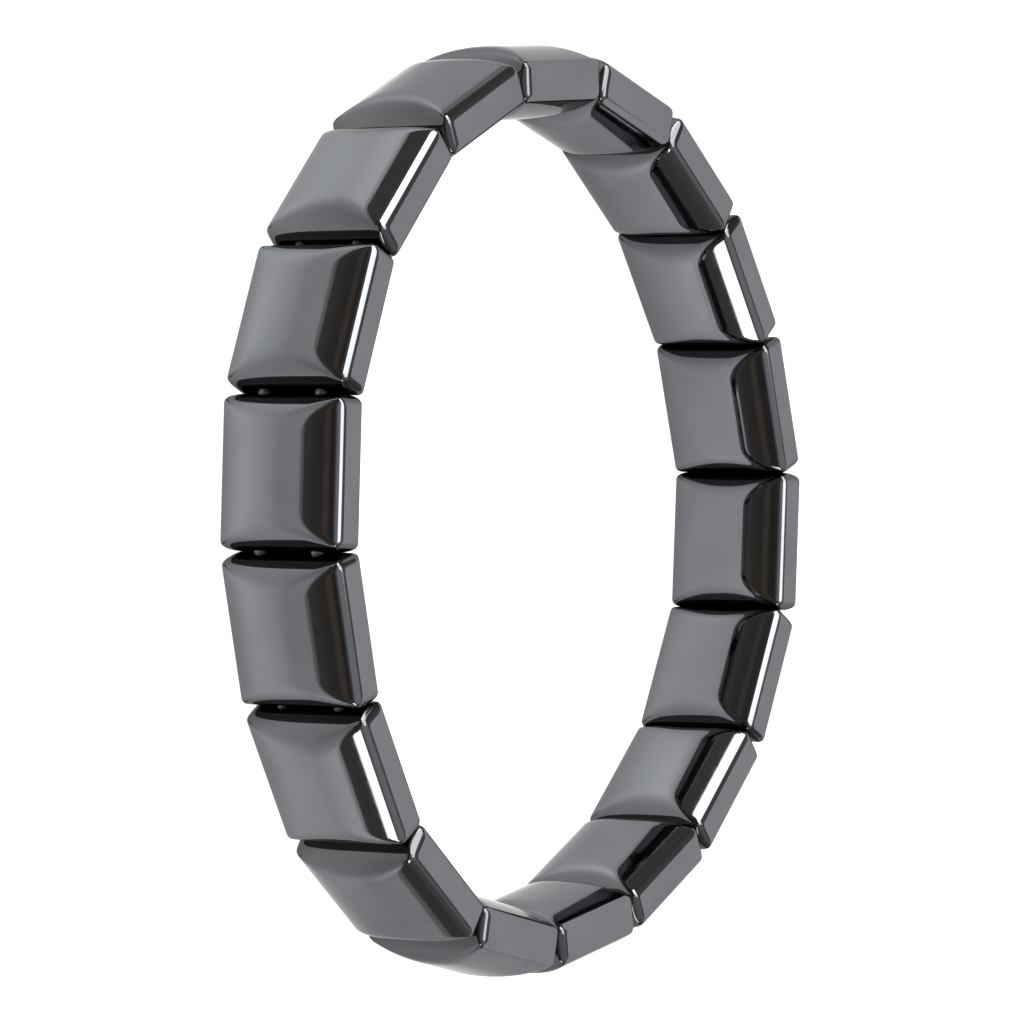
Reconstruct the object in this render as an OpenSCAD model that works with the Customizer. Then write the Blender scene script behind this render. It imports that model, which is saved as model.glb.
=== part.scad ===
// Hematite bracelet: eighteen pillow beads, each with two holes side by side, strung into a
// ring on two clear elastic threads. It lies on its side. The ring's axis is +Z, the lower
// rims of the beads rest on z = 0, and the origin is under the middle of the ring.

/* [Bead] */
// Length of a bead along the threads
bead_length = 9.89; // [9:0.01:9.9]
// Width of a bead from rim to rim
bead_width = 9.1; // [8:0.1:9.6]
// Thickness of a bead at its middle
bead_thickness = 5; // [4.8:0.1:5]
// Radius of the bulge of each face, seen along the threads
face_radius = 8.3; // [8:0.1:12]
// Radius of the soft edge between a face and a rim
rim_edge_radius = 0.75; // [0.5:0.05:0.9]
// Radius of each rounded end, seen from a rim
end_radius = 2.6; // [2.6:0.05:2.8]
// Radius of the four corners, seen from a face
corner_radius = 0.8; // [0.4:0.05:1.2]

/* [Holes] */
// Bore of the two holes through a bead
hole_bore = 1.1; // [1:0.05:1.4]
// Distance between the middles of the two holes
hole_spacing = 4.3; // [3:0.1:4.6]

/* [Elastic] */
// Diameter of each elastic thread
elastic_diameter = 0.8; // [0.5:0.05:0.8]
// Radius that a thread bends to where two beads meet
elastic_bend_radius = 1.5; // [1:0.1:2]
// How much thicker a thread is where it bends
bend_swell = 0.04; // [0.03:0.01:0.1]

/* [Ring] */
// Gap between two neighbouring beads, where their rounded ends come closest
bead_gap = 0.03; // [0.03:0.01:0.5]
// Direction that the first bead's outer face looks in, from +X
first_heading = 186; // [0:1:359]
// How far the ring is out of round towards two opposite sides, in degrees of heading
oval_swing = 0.5; // [0:0.1:1]
// Place round the ring where that swing is greatest
oval_at = 249; // [0:1:359]
// How far the ring is out of round towards three sides, in degrees of heading
three_sided_swing = 2.4; // [0:0.1:3]
// Place round the ring where that swing is greatest
three_sided_at = 196; // [0:1:359]
// How far the ring is out of round towards four sides, in degrees of heading
four_sided_swing = 2; // [0:0.1:3]
// Place round the ring where that swing is greatest
four_sided_at = 11; // [0:1:359]

/* [Hidden] */
bead_count = 18;
bead_names = [for (number = [1 : bead_count]) str("bead_", number < 10 ? "0" : "", number)];

hematite_colour = [0.33, 0.33, 0.35];
elastic_colour = [0.85, 0.86, 0.87];
$fn = 48;

// Longer than any bead, for the holes and the shapes that trim it
past_bead = 2 * bead_length;
// The corner trim stands this far outside the bead's own length and width
corner_trim_play = 0.02;
// How far a thread's straight stretch goes on into its bends
bend_overlap = 0.1;

// Middle of a face's arc, and of the four small arcs that turn it into the rims
face_arc_offset = bead_thickness / 2 - face_radius;
rim_arc_height = bead_width / 2 - rim_edge_radius;
rim_arc_offset = face_arc_offset + sqrt(pow(face_radius - rim_edge_radius, 2) - pow(rim_arc_height, 2));
// Height on a face where its arc runs into the small one
face_arc_end = rim_arc_height * face_radius / (face_radius - rim_edge_radius);

// Middle of each rounded end, and how far past it the end's arc leaves the full thickness
end_arc_offset = bead_length / 2 - end_radius;
end_arc_run = sqrt(pow(end_radius, 2) - pow(bead_thickness / 2, 2));

// Headings of the beads' outer faces, clockwise round the ring seen from above
function round_ring(number) = (number - 1) * 360 / bead_count;
function heading(number) =
    first_heading - round_ring(number)
    + oval_swing * cos(2 * round_ring(number) - oval_at)
    + three_sided_swing * cos(3 * round_ring(number) - three_sided_at)
    + four_sided_swing * cos(4 * round_ring(number) - four_sided_at);

// Joint 0 comes before the first bead, and joint n after bead n: there the middle lines of two
// beads cross. The more the ring turns at a joint, the further out it lies from both beads,
// so that their rounded ends keep the same gap.
function joint_reach(number) =
    end_arc_offset
    + (end_radius + bead_gap / 2) / cos((heading(number) - heading(number + 1)) / 2);
function step_length(number) = joint_reach(number - 1) + joint_reach(number);

// The small error at the end of the open chain of steps is shared out to close the ring
function open_joint(number) = number == 0
    ? [0, 0]
    : open_joint(number - 1) + step_length(number) * [sin(heading(number)), -cos(heading(number))];
closing_error = open_joint(bead_count);
function ring_joint(number) = open_joint(number) - closing_error * number / bead_count;
joints = [for (number = [0 : bead_count]) ring_joint(number)];

bead_steps = [for (number = [1 : bead_count]) joints[number] - joints[number - 1]];
bead_turns = [for (step = bead_steps) atan2(step.y, step.x)];
bead_middles = [
    for (number = [1 : bead_count])
        joints[number - 1] + bead_steps[number - 1] * joint_reach(number - 1) / step_length(number)
];

// How far a bead reaches from its middle, for a direction's parts along and across it
function reach(along, across) = along * end_radius > end_arc_run
    ? end_arc_offset * along + end_radius
    : (end_arc_offset + end_arc_run) * along + bead_thickness / 2 * across;
x_reach = [for (turn = bead_turns) reach(abs(cos(turn)), abs(sin(turn)))];
y_reach = [for (turn = bead_turns) reach(abs(sin(turn)), abs(cos(turn)))];
function span_middle(middles, reaches) = (max(middles + reaches) + min(middles - reaches)) / 2;
ring_middle = [
    span_middle([for (middle = bead_middles) middle.x], x_reach),
    span_middle([for (middle = bead_middles) middle.y], y_reach)
];

// Section across the threads: two bulging faces, two flat rims and soft edges between them
module cross_section() {
    intersection() {
        translate([face_arc_offset, 0]) circle(face_radius);
        translate([-face_arc_offset, 0]) circle(face_radius);
        square([bead_thickness, 2 * face_arc_end], center = true);
    }
    square([2 * rim_arc_offset, bead_width], center = true);
    for (side = [-1, 1], end = [-1, 1])
        translate([side * rim_arc_offset, end * rim_arc_height]) circle(rim_edge_radius);
}

// Outline seen from a rim: the two ends are full rounds a little thicker than the bead
module rim_view() {
    square([2 * end_arc_offset, 2 * end_radius], center = true);
    for (end = [-1, 1])
        translate([end * end_arc_offset, 0]) circle(end_radius);
}

// Outline seen from a face: a rectangle with rounded corners
module face_view() {
    half_length = bead_length / 2 + corner_trim_play;
    half_width = bead_width / 2 + corner_trim_play;
    square([2 * half_length, 2 * (half_width - corner_radius)], center = true);
    square([2 * (half_length - corner_radius), 2 * half_width], center = true);
    for (side = [-1, 1], end = [-1, 1])
        translate([side * (half_length - corner_radius), end * (half_width - corner_radius)])
            circle(corner_radius);
}

// A bead about its own middle, with its length on X, its thickness on Y and its width on Z
module pillow_bead() {
    difference() {
        intersection() {
            rotate([90, 0, 90]) linear_extrude(past_bead, center = true) cross_section();
            linear_extrude(past_bead, center = true) rim_view();
            rotate([90, 0, 0]) linear_extrude(past_bead, center = true) face_view();
        }
        for (side = [-1, 1])
            translate([0, 0, side * hole_spacing / 2])
                rotate([0, 90, 0]) cylinder(h = past_bead, d = hole_bore, center = true);
    }
}

module bead(number) {
    middle = bead_middles[number - 1] - ring_middle;
    color(hematite_colour)
        translate([middle.x, middle.y, bead_width / 2])
            rotate([0, 0, bead_turns[number - 1]])
                pillow_bead();
}

// Angle that the ring turns through at the joint after a bead
function joint_turn(number) =
    let (turned = bead_turns[number - 1] - bead_turns[number % bead_count])
    turned - 360 * round(turned / 360);

// How far from that joint the bend of a thread begins and ends
function bend_run(number) = elastic_bend_radius * tan(joint_turn(number) / 2);

// The stretch of a thread that lies straight in a bead, its ends just inside the two bends
module straight_stretch(number) {
    joint = joints[number - 1] - ring_middle;
    before = bend_run(number == 1 ? bead_count : number - 1) - bend_overlap;
    after = bend_run(number) - bend_overlap;
    translate([joint.x, joint.y, 0])
        rotate([0, 0, bead_turns[number - 1]])
            translate([before, 0, 0])
                rotate([0, 90, 0])
                    cylinder(h = norm(bead_steps[number - 1]) - before - after, d = elastic_diameter);
}

// The short bend of a thread in the gap after a bead
module bend(number) {
    joint = joints[number] - ring_middle;
    translate([joint.x, joint.y, 0])
        rotate([0, 0, bead_turns[number - 1]])
            translate([-bend_run(number), -elastic_bend_radius, 0])
                rotate([0, 0, 90 - joint_turn(number)])
                    rotate_extrude(angle = joint_turn(number))
                        translate([elastic_bend_radius, 0]) circle(d = elastic_diameter + bend_swell);
}

module elastic(height) {
    color(elastic_colour)
        translate([0, 0, height])
            for (number = [1 : bead_count]) {
                straight_stretch(number);
                bend(number);
            }
}

for (number = [1 : bead_count])
    bead(number);
elastic((bead_width + hole_spacing) / 2);  // elastic_upper
elastic((bead_width - hole_spacing) / 2);  // elastic_lower
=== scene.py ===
import math

import bpy
import numpy as np
from mathutils import Matrix, Vector


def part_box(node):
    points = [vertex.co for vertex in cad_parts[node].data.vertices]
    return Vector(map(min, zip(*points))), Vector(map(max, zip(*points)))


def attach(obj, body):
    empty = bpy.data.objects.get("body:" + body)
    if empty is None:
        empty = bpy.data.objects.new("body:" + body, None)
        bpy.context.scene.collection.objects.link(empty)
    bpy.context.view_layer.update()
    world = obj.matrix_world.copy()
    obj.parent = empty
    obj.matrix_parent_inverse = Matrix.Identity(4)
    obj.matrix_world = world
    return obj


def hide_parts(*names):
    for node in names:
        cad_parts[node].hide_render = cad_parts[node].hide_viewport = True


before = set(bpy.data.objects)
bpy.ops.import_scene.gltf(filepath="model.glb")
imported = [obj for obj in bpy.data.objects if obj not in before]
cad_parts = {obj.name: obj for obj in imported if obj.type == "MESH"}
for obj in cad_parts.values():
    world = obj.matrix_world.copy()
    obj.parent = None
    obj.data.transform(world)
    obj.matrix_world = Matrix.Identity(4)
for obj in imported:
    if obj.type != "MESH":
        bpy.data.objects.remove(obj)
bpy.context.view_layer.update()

# The viewpoint
# The bracelet lies flat on a table and is seen from about 32 degrees above it, from some way
# off. The camera is turned on its side, so that the ring stands upright in the picture.
bead_count = sum(name.startswith("bead_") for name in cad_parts)
bead_nodes = [f"bead_{number:02d}" for number in range(1, bead_count + 1)]
bead_middles = [sum(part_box(name), Vector()) / 2 for name in bead_nodes]
ring_middle = sum(bead_middles, Vector()) / bead_count

camera_distance = 0.348
camera_elevation = math.radians(31.86)
camera_roll = math.radians(90.73)
picture_px = 1024
focal_px = 5185
# The ring's middle lies this far to the right of the picture's middle, and this far above it
ring_right_px = 13.5
ring_up_px = 2.8
sensor_mm = 36

lookout = bpy.data.cameras.new("lookout")
lookout.sensor_width = sensor_mm
lookout.lens = focal_px / picture_px * sensor_mm
lookout.shift_x = -ring_right_px / picture_px
lookout.shift_y = -ring_up_px / picture_px
lookout.clip_start = 0.01
lookout.clip_end = 20
camera = bpy.data.objects.new("camera", lookout)
bpy.context.scene.collection.objects.link(camera)
back = Vector((0, -math.cos(camera_elevation), math.sin(camera_elevation)))
level_right = Vector((1, 0, 0))
level_up = back.cross(level_right)
right = math.cos(camera_roll) * level_right + math.sin(camera_roll) * level_up
up = math.cos(camera_roll) * level_up - math.sin(camera_roll) * level_right
pose = Matrix((right, up, back)).transposed().to_4x4()
pose.translation = ring_middle + camera_distance * back
camera.matrix_world = pose
bpy.context.scene.camera = camera
bpy.context.scene.view_settings.view_transform = "Standard"

# Hematite beads
# Each bead is cut from dark grey hematite as a pillow: two bulging faces, two flat rims and
# two rounded ends. It is drilled twice along its length, tumbled and polished to a mirror.
MM = 0.001
face_radius = 8.3 * MM
rim_edge_radius = 0.75 * MM
end_radius = 2.6 * MM
corner_radius = 0.8 * MM
hole_bore = 1.1 * MM
hole_spacing = 4.3 * MM
# How widely the creases are softened: those between the faces and the ends, and those of the corners
face_blend = 0.35 * MM
corner_blend = 0.15 * MM
# The solids keep a gap between two beads. The drawn beads nearly touch, as the real ones do
solid_gap = 0.03 * MM
drawn_gap = 0.004 * MM
# Squares of a bead's mesh along the threads, through the bead and across it
grid_counts = (60, 32, 60)

dark_stone = (0.144, 0.150, 0.162)
grey_stone = (0.154, 0.160, 0.171)
pale_stone = (0.162, 0.166, 0.177)
# Painted shade: the darkest colour laid on a bead's ends, where they face the next bead
shaded_end = (0.56, 0.55, 0.53)
# At a grazing look a bead mirrors this share of the light, where most metals mirror nearly all
edge_tint = (0.60, 0.60, 0.60)


def turn_of(node_name):
    """Angle of a bead's length from +X, with its length and its thickness. The bead is measured at
    one turn after another, in ever finer steps, to find the turn where it is thinnest."""
    corners = np.array([v.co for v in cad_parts[node_name].data.vertices])[:, :2]

    def spans(turn):
        along = corners @ (math.cos(turn), math.sin(turn))
        through = corners @ (-math.sin(turn), math.cos(turn))
        return np.ptp(through), np.ptp(along), turn

    thinnest = 0.0
    step = math.radians(4)
    finest_step = math.radians(0.002)
    steps_each_way = 22
    while step > finest_step:
        tried = [thinnest + i * step for i in range(-steps_each_way, steps_each_way + 1)]
        thinnest = min(spans(turn) for turn in tried)[2]
        step /= 4
        steps_each_way = 5
    thickness, length, turn = spans(thinnest)
    return turn, length, thickness


bead_shapes = [turn_of(name) for name in bead_nodes]
solid_length = float(np.median([shape[1] for shape in bead_shapes]))
bead_length = solid_length + (solid_gap - drawn_gap)
bead_thickness = float(np.median([shape[2] for shape in bead_shapes]))
bead_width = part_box(bead_nodes[0])[1].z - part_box(bead_nodes[0])[0].z

# The blend of a face into the ends would thin the bead, so its faces start that much fuller
face_sink = (1 - (end_radius - bead_thickness / 2) / face_blend) ** 2 * face_blend / 4
face_arc_offset = bead_thickness / 2 + face_sink - face_radius
rim_arc_height = bead_width / 2 - rim_edge_radius
rim_arc_offset = face_arc_offset + math.sqrt((face_radius - rim_edge_radius) ** 2 - rim_arc_height ** 2)
face_arc_end = math.atan2(rim_arc_height, rim_arc_offset - face_arc_offset)
end_arc_offset = bead_length / 2 - end_radius
# The arc that cuts the corners is larger than their radius: it starts outside the ends and the
# rims, clear of them by the blend, and passes through the middle of each rounded corner
corner_arc_radius = corner_radius + corner_blend * math.sqrt(2) / (math.sqrt(2) - 1)
corner_arc_inset = corner_arc_radius - corner_blend


def smooth_max(a, b, blend):
    """The larger of two distances, with the crease between them rounded."""
    share = np.maximum(blend - np.abs(a - b), 0) / blend
    return np.maximum(a, b) + share * share * blend / 4


def outside_bead(points):
    """How far points lie outside a bead's surface: below 0 inside it."""
    along, through, across = np.abs(points).T
    face = np.hypot(through - face_arc_offset, across) - face_radius
    rim_edge = np.hypot(through - rim_arc_offset, across - rim_arc_height) - rim_edge_radius
    on_face = across * math.cos(face_arc_end) <= (through - face_arc_offset) * math.sin(face_arc_end)
    rim = np.where(through >= rim_arc_offset, rim_edge, across - bead_width / 2)
    section = np.where(on_face, face, rim)
    end = np.hypot(np.maximum(along - end_arc_offset, 0), through) - end_radius
    past_along = along - (bead_length / 2 - corner_arc_inset)
    past_across = across - (bead_width / 2 - corner_arc_inset)
    corner = np.hypot(np.maximum(past_along, 0), np.maximum(past_across, 0)) - corner_arc_radius
    corner += np.minimum(np.maximum(past_along, past_across), 0)
    return smooth_max(smooth_max(section, end, face_blend), corner, corner_blend)


def outward(points):
    """Direction square to a bead's surface at each point."""
    reach = 1e-7
    slopes = [outside_bead(points + step) - outside_bead(points - step) for step in np.eye(3) * reach]
    slopes = np.stack(slopes, axis=1)
    return slopes / np.linalg.norm(slopes, axis=1, keepdims=True)


def pillow_grid():
    """Points and four-sided faces of a box's surface, drawn in until they lie on a bead."""
    halves = np.array([bead_length, bead_thickness, bead_width]) / 2
    # The points stand closer together towards the box's edges: not at all at 0, and most at 1
    crowding = 0.8
    rounds_of_drawing_in = 12
    points = []
    index = {}
    faces = []

    def crowded(share):
        return math.sin(math.pi / 2 * (2 * share - 1) * crowding) / math.sin(math.pi / 2 * crowding)

    def corner(cell):
        if cell not in index:
            index[cell] = len(points)
            points.append([crowded(c / n) * half for c, n, half in zip(cell, grid_counts, halves)])
        return index[cell]

    for axis in range(3):
        u, v = (axis + 1) % 3, (axis + 2) % 3
        for side in (0, grid_counts[axis]):
            for i in range(grid_counts[u]):
                for j in range(grid_counts[v]):
                    turning_left = [(i, j), (i + 1, j), (i + 1, j + 1), (i, j + 1)]
                    cells = []
                    for a, b in (turning_left if side else turning_left[::-1]):
                        cell = [0, 0, 0]
                        cell[axis], cell[u], cell[v] = side, a, b
                        cells.append(corner(tuple(cell)))
                    faces.append(cells)
    points = np.array(points)
    for _ in range(rounds_of_drawing_in):
        points -= outside_bead(points)[:, None] * outward(points)
    return points, faces


def mesh_of(name, points, faces):
    """A smooth-shaded mesh of those points and faces."""
    made = bpy.data.meshes.new(name)
    made.from_pydata([tuple(p) for p in points], [], faces)
    made.polygons.foreach_set("use_smooth", [True] * len(made.polygons))
    made.update()
    return made


def drill_points(height):
    """A drill through a bead along its length, as the points and faces of a rod."""
    sides = 32
    half_length = 0.6 * bead_length
    turns = [2 * math.pi * i / sides for i in range(sides)]
    points = [(end, hole_bore / 2 * math.cos(t), height + hole_bore / 2 * math.sin(t))
              for end in (-half_length, half_length) for t in turns]
    walls = [(i, (i + 1) % sides, sides + (i + 1) % sides, sides + i) for i in range(sides)]
    return points, walls + [tuple(range(sides))[::-1], tuple(range(sides, 2 * sides))]


def drilled_blank():
    """A bead's points and faces once it is drilled, with the way and the middle of each face."""
    blank = bpy.data.objects.new("blank", mesh_of("blank", *pillow_grid()))
    drills = []
    for height in (-hole_spacing / 2, hole_spacing / 2):
        drill = bpy.data.objects.new("drill", mesh_of("drill", *drill_points(height)))
        drills.append(drill)
        cut = blank.modifiers.new("hole", "BOOLEAN")
        cut.operation = "DIFFERENCE"
        cut.solver = "EXACT"
        cut.object = drill
    for thing in [blank, *drills]:
        bpy.context.scene.collection.objects.link(thing)
    drawn = blank.evaluated_get(bpy.context.evaluated_depsgraph_get()).to_mesh()
    points = np.array([v.co for v in drawn.vertices])
    faces = [tuple(p.vertices) for p in drawn.polygons]
    face_ways = np.array([p.normal for p in drawn.polygons])
    face_middles = np.array([p.center for p in drawn.polygons])
    blank.to_mesh_clear()
    for thing in [blank, *drills]:
        bpy.data.objects.remove(thing)
    return points, faces, face_ways, face_middles


def drilled_bead():
    """One bead about its own middle: its points, its faces, the direction at each face corner and
    the painted shade at each point, strongest where it faces the next bead or lies on a corner."""
    points, faces, face_ways, face_middles = drilled_blank()
    surface_ways = outward(points)
    # A face is part of a hole's wall where its middle lies in the bore and it doesn't look along it
    just_past_wall = 0.502 * hole_bore
    most_along = 0.5
    ways = []
    for face, way, middle in zip(faces, face_ways, face_middles):
        height = math.copysign(hole_spacing / 2, middle[2])
        in_bore = math.hypot(middle[1], middle[2] - height) < just_past_wall
        on_wall = in_bore and abs(way[0]) < most_along
        for corner in face:
            if on_wall:
                inward = np.array([0, -points[corner][1], height - points[corner][2]])
                ways.append(inward / np.linalg.norm(inward))
            else:
                ways.append(surface_ways[corner])
    # Painted shade: strongest on the ends that face the next bead, and stronger still on the corners by
    # the rims, where it dims the highlights
    towards_next, _, towards_rim = np.abs(surface_ways).T
    return points, faces, np.array(ways), towards_next * (1 + towards_rim)


def new_material(name):
    """A new material, its node tree, the shader in it and the place of each point on its piece."""
    made = bpy.data.materials.new(name)
    made.use_nodes = True
    tree = made.node_tree
    shader = tree.nodes["Principled BSDF"]
    place = tree.nodes.new("ShaderNodeTexCoord").outputs["Object"]
    return made, tree, shader, place


def noise(tree, place, scale, detail, roughness=0.5):
    """Cloudy noise that changes with the place."""
    texture = tree.nodes.new("ShaderNodeTexNoise")
    texture.inputs["Scale"].default_value = scale
    texture.inputs["Detail"].default_value = detail
    texture.inputs["Roughness"].default_value = roughness
    tree.links.new(place, texture.inputs["Vector"])
    return texture.outputs["Fac"]


def ramp(tree, source, *stops):
    """A colour that follows source through the stops, each a level and its colour."""
    made = tree.nodes.new("ShaderNodeValToRGB")
    while len(made.color_ramp.elements) < len(stops):
        made.color_ramp.elements.new(0.5)
    for element, (level, colour) in zip(made.color_ramp.elements, stops):
        element.position = level
        element.color = (*colour, 1)
    tree.links.new(source, made.inputs["Fac"])
    return made.outputs["Color"]


def grey(level):
    return (level, level, level)


def feed(tree, value, socket):
    """Link a socket to another node's output, or set it where value is a number or a colour."""
    if isinstance(value, bpy.types.NodeSocket):
        tree.links.new(value, socket)
    else:
        socket.default_value = value


def mixed(tree, kind, share, first, second, way="MIX"):
    """Two colours (kind "RGBA") or two numbers (kind "FLOAT"), mixed by share."""
    made = tree.nodes.new("ShaderNodeMix")
    made.data_type = kind
    made.blend_type = way
    feed(tree, share, made.inputs["Factor"])
    feed(tree, first, made.inputs["A"])
    feed(tree, second, made.inputs["B"])
    return made.outputs["Result"]


def hematite_polish():
    """Polished hematite: a dark metallic lustre, clouded faintly, its gloss worn by fine rubbing, and
    with painted shade on its ends and corners.
    """
    made, tree, shader, place = new_material("polished_hematite")
    clouds = noise(tree, place, scale=260, detail=3)
    stone = ramp(tree, clouds, (0.3, dark_stone), (0.5, grey_stone), (0.7, pale_stone))
    # Painted shade: darkens the ends that face the next bead and the corners by the rims
    painted_end_shade = tree.nodes.new("ShaderNodeAttribute")
    painted_end_shade.attribute_name = "painted_end_shade"
    end_shading = ramp(tree, painted_end_shade.outputs["Fac"],
                (0.22, grey(1)), (0.36, grey(0.88)), (0.6, grey(0.70)), (0.95, shaded_end))
    tree.links.new(mixed(tree, "RGBA", 1, stone, end_shading, "MULTIPLY"), shader.inputs["Base Color"])
    rubbing = noise(tree, place, scale=1400, detail=5, roughness=0.6)
    haze = ramp(tree, rubbing, (0.35, grey(0.045)), (0.7, grey(0.08)))
    tree.links.new(haze, shader.inputs["Roughness"])
    bump = tree.nodes.new("ShaderNodeBump")
    bump.inputs["Strength"].default_value = 0.1
    bump.inputs["Distance"].default_value = 0.02 * MM
    tree.links.new(noise(tree, place, scale=500, detail=2), bump.inputs["Height"])
    tree.links.new(bump.outputs["Normal"], shader.inputs["Normal"])
    shader.inputs["Metallic"].default_value = 1
    shader.inputs["Specular Tint"].default_value = (*edge_tint, 1)
    return made


def new_piece(name, mesh, material):
    """An object of that mesh and material, put into the scene."""
    mesh.materials.append(material)
    made = bpy.data.objects.new(name, mesh)
    bpy.context.scene.collection.objects.link(made)
    return made


hematite = hematite_polish()
bead_points, bead_faces, bead_ways, bead_end_shade = drilled_bead()
for node_name, middle, (turn, _, _) in zip(bead_nodes, bead_middles, bead_shapes):
    spin = np.array(Matrix.Rotation(turn, 3, "Z"))
    mesh = mesh_of(f"{node_name}_mesh", bead_points @ spin.T + np.array(middle), bead_faces)
    mesh.normals_split_custom_set((bead_ways @ spin.T).tolist())
    # Painted shade for the ends and corners, kept on each point for the stone's material
    mesh.attributes.new("painted_end_shade", "FLOAT", "POINT").data.foreach_set("value", bead_end_shade)
    bead = new_piece(f"{node_name}_polished", mesh, hematite)
    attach(bead, "root")
    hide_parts(node_name)

# Elastic threads
# Two clear stretch cords, one through each row of holes. Each is a closed loop that bends a
# little in the gap between two beads, and is knotted inside a bead, where it doesn't show.
thread_radius = 0.4 * MM
thread_bend_radius = 1.5 * MM
thread_sides = 14
bend_rings = 5
milky_grey = (0.47, 0.48, 0.48)
milky_white = (0.58, 0.59, 0.59)


def gap_points():
    """Where the bore lines of each two neighbouring beads cross, in the order of the beads."""
    starts = [np.array(middle[:2]) for middle in bead_middles]
    ways = [np.array([math.cos(turn), math.sin(turn)]) for turn, _, _ in bead_shapes]
    found = []
    for here in range(bead_count):
        after = (here + 1) % bead_count
        both_ways = np.column_stack([ways[here], -ways[after]])
        shares = np.linalg.solve(both_ways, starts[after] - starts[here])
        found.append(starts[here] + shares[0] * ways[here])
    return found


def right_of(way):
    """The way that lies to the right of a way, seen from above."""
    return np.array([way[1], -way[0]])


def thread_rings():
    """Middles of a thread's rings, with the way that the thread runs at each, seen from above."""
    crossings = gap_points()
    rings = []
    for here, crossing in enumerate(crossings):
        before = crossing - crossings[here - 1]
        before = before / np.linalg.norm(before)
        after = crossings[(here + 1) % bead_count] - crossing
        after = after / np.linalg.norm(after)
        bend = math.acos(np.clip(before @ after, -1, 1))
        run = thread_bend_radius * math.tan(bend / 2)
        inner = crossing - run * before + thread_bend_radius * right_of(before)
        for i in range(bend_rings):
            turned = bend * i / (bend_rings - 1)
            way = before * math.cos(turned) + right_of(before) * math.sin(turned)
            rings.append((inner - thread_bend_radius * right_of(way), way))
    return rings


def thread_mesh(name, rings, height):
    """The skin of a thread that runs through those rings at one height, as a closed loop."""
    points = []
    for middle, way in rings:
        for i in range(thread_sides):
            angle = 2 * math.pi * i / thread_sides
            flat = middle + thread_radius * math.cos(angle) * right_of(way)
            points.append((*flat, height + thread_radius * math.sin(angle)))
    faces = []
    for here in range(0, len(points), thread_sides):
        after = (here + thread_sides) % len(points)
        for i in range(thread_sides):
            j = (i + 1) % thread_sides
            faces.append((here + i, after + i, after + j, here + j))
    return mesh_of(name, points, faces)


def elastic_shine():
    """Clear stretch cord: faintly milky, glossy, with a fine grain from drawing."""
    made, tree, shader, place = new_material("clear_elastic")
    milk = noise(tree, place, scale=900, detail=3)
    tree.links.new(ramp(tree, milk, (0.3, milky_grey), (0.7, milky_white)), shader.inputs["Base Color"])
    tree.links.new(ramp(tree, milk, (0.3, grey(0.12)), (0.7, grey(0.25))), shader.inputs["Roughness"])
    shader.inputs["Transmission Weight"].default_value = 0.85
    shader.inputs["IOR"].default_value = 1.49
    return made


clear_elastic = elastic_shine()
rings = thread_rings()
for node_name in ("elastic_upper", "elastic_lower"):
    low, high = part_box(node_name)
    mesh = thread_mesh(f"{node_name}_mesh", rings, (low.z + high.z) / 2)
    thread = new_piece(f"{node_name}_cord", mesh, clear_elastic)
    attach(thread, "root")
    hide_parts(node_name)

# White table
# A white table top whose colour glows: a painted pool of light that the beads mirror, strongest beside
# the ring and ending 15 cm from the ring's middle. The camera, which looks straight at it, sees plain
# white.
table_half = 2.5
glow_radius = 0.15
glow_strength = 1.1
# Places on the glow, as shares of its radius: under the beads, and just outside the ring
under_beads = 0.187
beside_ring = 0.21
middle_glow = grey(0.77)
unlit_glow = (0.16, 0.15, 0.14)
# The glow in front of the ring starts and is complete at these places on Y
front_start = -8 * MM
front_full = -23 * MM
# It also differs between the ring's left and its right, which lie this far out on X
ring_reach = 30 * MM


def calculate(tree, operation, *values):
    """A number worked out from others, each a fixed number or another node's output."""
    made = tree.nodes.new("ShaderNodeMath")
    made.operation = operation
    for value, socket in zip(values, made.inputs):
        feed(tree, value, socket)
    return made.outputs["Value"]


def axes_of(tree, place):
    """The X, Y and Z of a place."""
    made = tree.nodes.new("ShaderNodeSeparateXYZ")
    tree.links.new(place, made.inputs["Vector"])
    return made.outputs


def change(tree, source, start, end, at_start=0, at_end=1, kind="SMOOTHSTEP"):
    """A number that goes from at_start to at_end while source goes from start to end."""
    made = tree.nodes.new("ShaderNodeMapRange")
    made.interpolation_type = kind
    made.inputs["From Min"].default_value = start
    made.inputs["From Max"].default_value = end
    made.inputs["To Min"].default_value = at_start
    made.inputs["To Max"].default_value = at_end
    tree.links.new(source, made.inputs["Value"])
    return made.outputs["Result"]


def white_to_camera(tree, colour):
    """The colour that the beads mirror, and plain white where the camera looks straight at it."""
    straight = tree.nodes.new("ShaderNodeLightPath").outputs["Is Camera Ray"]
    return mixed(tree, "RGBA", straight, colour, (1, 1, 1, 1))


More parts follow.
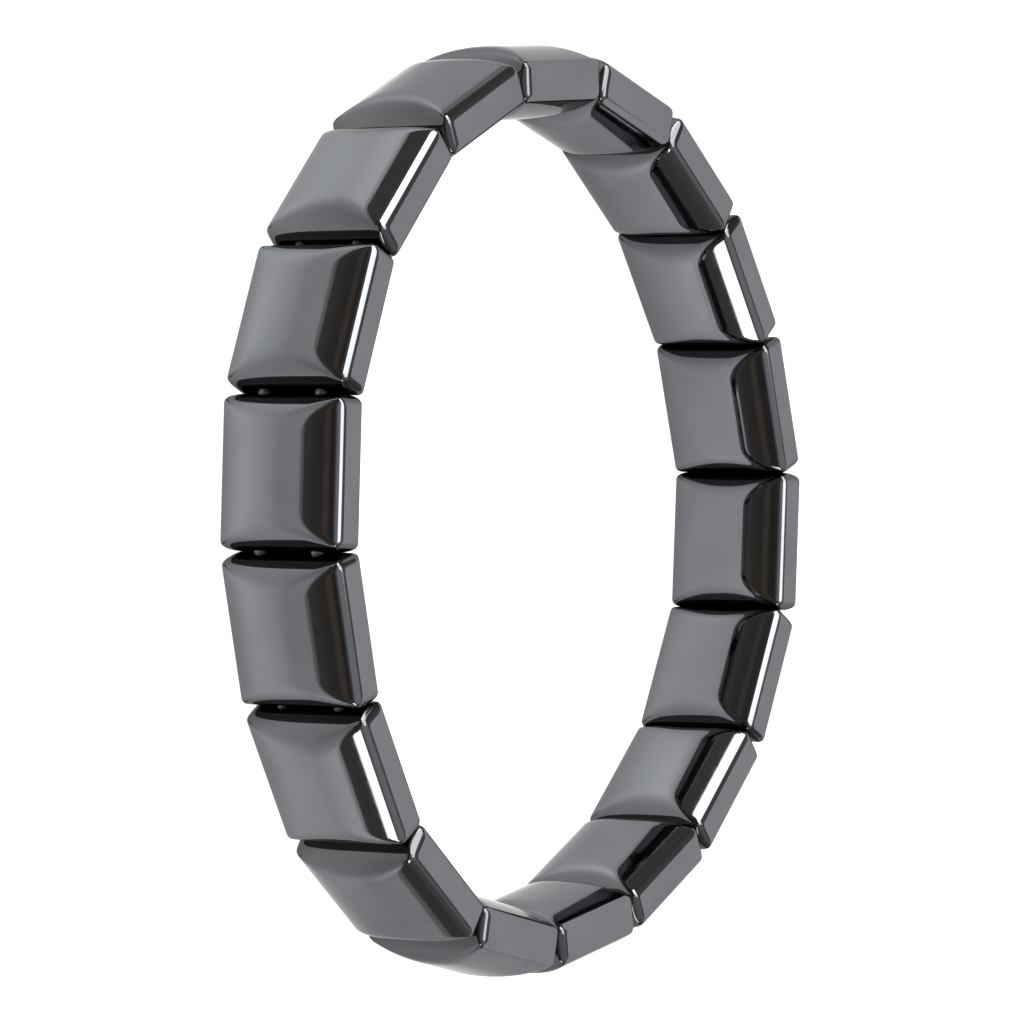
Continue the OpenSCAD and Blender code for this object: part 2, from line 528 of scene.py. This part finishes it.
def table_glow(tree, place):
    """Light of the table in front of the ring and behind it, brighter at one side than the other."""
    from_middle = tree.nodes.new("ShaderNodeVectorMath")
    from_middle.operation = "LENGTH"
    tree.links.new(place, from_middle.inputs[0])
    spread = calculate(tree, "DIVIDE", from_middle.outputs["Value"], glow_radius)
    axes = axes_of(tree, place)
    in_front = change(tree, axes["Y"], front_start, front_full)
    front_glow = ramp(tree, spread, (0.0, middle_glow), (under_beads, middle_glow),
                      (beside_ring, grey(1.2)), (0.235, grey(0.92)), (0.27, grey(0.55)),
                      (0.4, grey(0.56)), (0.6, grey(0.56)), (0.93, grey(0.5)), (1.0, unlit_glow))
    far_glow = ramp(tree, spread, (0.0, middle_glow), (0.205, middle_glow), (0.235, grey(0.60)),
                    (0.4, grey(0.56)), (0.6, grey(0.56)), (0.93, grey(0.48)), (1.0, unlit_glow))
    glow = mixed(tree, "RGBA", in_front, far_glow, front_glow)

    def sideways(at_left, at_right):
        return change(tree, axes["X"], -ring_reach, ring_reach, at_left, at_right, "LINEAR")

    inside_ring = sideways(at_left=0.96, at_right=1.3)
    outside_ring = sideways(at_left=1.4, at_right=1.12)
    before_ring = sideways(at_left=1.1, at_right=0.98)
    behind_ring = mixed(tree, "FLOAT", change(tree, spread, under_beads, beside_ring), inside_ring,
                        outside_ring)
    evenness = mixed(tree, "FLOAT", in_front, behind_ring, before_ring)
    uneven_glow = tree.nodes.new("ShaderNodeVectorMath")
    uneven_glow.operation = "SCALE"
    tree.links.new(glow, uneven_glow.inputs[0])
    tree.links.new(evenness, uneven_glow.inputs["Scale"])
    return uneven_glow.outputs["Vector"]


def white_top():
    """White table top that glows round the ring."""
    made, tree, shader, place = new_material("white_table")
    smudges = noise(tree, place, scale=30, detail=2)
    paint = ramp(tree, smudges, (0.3, grey(0.19)), (0.7, grey(0.21)))
    tree.links.new(paint, shader.inputs["Base Color"])
    shader.inputs["Roughness"].default_value = 0.4
    tree.links.new(white_to_camera(tree, table_glow(tree, place)), shader.inputs["Emission Color"])
    shader.inputs["Emission Strength"].default_value = glow_strength
    return made


def square(name, half):
    """A flat square that faces up, from -half to half each way."""
    corners = [(-half, -half, 0), (half, -half, 0), (half, half, 0), (-half, half, 0)]
    return mesh_of(name, corners, [(0, 1, 2, 3)])


table = new_piece("table", square("table_mesh", table_half), white_top())

# Soft lights
# Softboxes stand to the left, high to the left, to the right and overhead, and a lit white screen
# stands behind, as seen from the camera's side of the table. Their cloth fades towards its edges.


def direction(side_degrees, elevation_degrees):
    """A way from the ring: its side is counted from the camera's side towards +X."""
    side, elevation = math.radians(side_degrees), math.radians(elevation_degrees)
    return Vector((math.sin(side) * math.cos(elevation), -math.cos(side) * math.cos(elevation),
                   math.sin(elevation)))


def softbox_cloth(radiance, fade):
    """Light cloth on a panel from -1 to 1 each way. It fades to nothing over the last stretch, as
    long as fade, before each edge."""
    made, tree, shader, place = new_material("softbox_cloth")
    tree.nodes.remove(shader)
    axes = axes_of(tree, place)
    fades = [change(tree, calculate(tree, "ABSOLUTE", axes[axis]), 1, 1 - fade) for axis in "XY"]
    shine = tree.nodes.new("ShaderNodeEmission")
    shine.inputs["Strength"].default_value = radiance
    clear = tree.nodes.new("ShaderNodeBsdfTransparent")
    fading = tree.nodes.new("ShaderNodeMixShader")
    tree.links.new(calculate(tree, "MULTIPLY", *fades), fading.inputs["Fac"])
    tree.links.new(clear.outputs["BSDF"], fading.inputs[1])
    tree.links.new(shine.outputs["Emission"], fading.inputs[2])
    tree.links.new(fading.outputs["Shader"], tree.nodes["Material Output"].inputs["Surface"])
    return made


def soft_panel(name, middle, facing, half_size, radiance, fade):
    """A soft light: its middle is a place from the ring, and it looks along facing."""
    panel = new_piece(name, square(name, 1), softbox_cloth(radiance, fade))
    turned = facing.to_track_quat("Z", "Y").to_matrix().to_4x4()
    panel.matrix_world = (Matrix.Translation(ring_middle + middle) @ turned
                          @ Matrix.Diagonal((*half_size, 1, 1)))


left_way = direction(-88, 24)
upper_way = direction(-87, 50.5)
right_way = direction(68, 21.2)
screen_way = direction(178, 14)
down = Vector((0, 0, -1))
overhead_place = Vector((-0.15, 0.15, 1))
screen_distance = 1.4
soft_panel("left_softbox", left_way, -left_way, half_size=(0.26, 0.185), radiance=10, fade=0.15)
soft_panel("upper_left_softbox", upper_way, -upper_way, half_size=(0.39, 0.33), radiance=7, fade=0.15)
soft_panel("right_softbox", right_way, -right_way, half_size=(0.25, 0.16), radiance=7, fade=0.15)
soft_panel("overhead_softbox", overhead_place, down, half_size=(0.32, 0.34), radiance=6, fade=0.2)
soft_panel("back_screen", screen_distance * screen_way, -screen_way, half_size=(1.73, 0.65),
           radiance=1.28, fade=0.1)

# Dark room
# The studio has dim walls, warmer and more uneven on the camera's side, and a pale ceiling. They
# show only as reflections in the beads. Behind the table the camera sees plain white instead.
# The shades of the walls waver up and down by this much, and lie lower towards +X by this much
wall_waviness = 0.12
drop_to_right = 0.2
# How far a way of length 1 reaches on Y where the front walls start and where they are complete
front_walls_start = -0.35
front_walls_full = -0.75

room = bpy.data.worlds.new("dark_room")
room.use_nodes = True
room_tree = room.node_tree
room_way = room_tree.nodes.new("ShaderNodeTexCoord").outputs["Generated"]
room_axes = axes_of(room_tree, room_way)
waves = noise(room_tree, room_way, scale=2.2, detail=1)
wavy_height = calculate(room_tree, "MULTIPLY_ADD", waves, wall_waviness, room_axes["Z"])
tilted_height = calculate(room_tree, "MULTIPLY_ADD", room_axes["X"], drop_to_right, wavy_height)
front_walls = ramp(room_tree, wavy_height,
                   (0.06, (0.17, 0.16, 0.145)), (0.14, (0.18, 0.165, 0.145)),
                   (0.21, (0.125, 0.12, 0.105)), (0.33, (0.12, 0.11, 0.095)),
                   (0.38, (0.24, 0.18, 0.15)), (0.42, (0.22, 0.17, 0.14)),
                   (0.46, (0.10, 0.09, 0.08)), (0.55, grey(0.08)), (0.64, grey(0.20)),
                   (0.76, grey(0.26)), (0.90, grey(0.7)), (1.0, grey(0.8)))
side_walls = ramp(room_tree, tilted_height,
                  (0.06, (0.20, 0.19, 0.18)), (0.36, (0.18, 0.17, 0.16)), (0.51, (0.24, 0.23, 0.22)),
                  (0.80, grey(0.28)), (0.90, grey(0.62)), (1.0, grey(0.75)))
in_front = change(room_tree, room_axes["Y"], front_walls_start, front_walls_full)
walls = mixed(room_tree, "RGBA", in_front, side_walls, front_walls)
room_tree.links.new(white_to_camera(room_tree, walls), room_tree.nodes["Background"].inputs["Color"])
bpy.context.scene.world = room
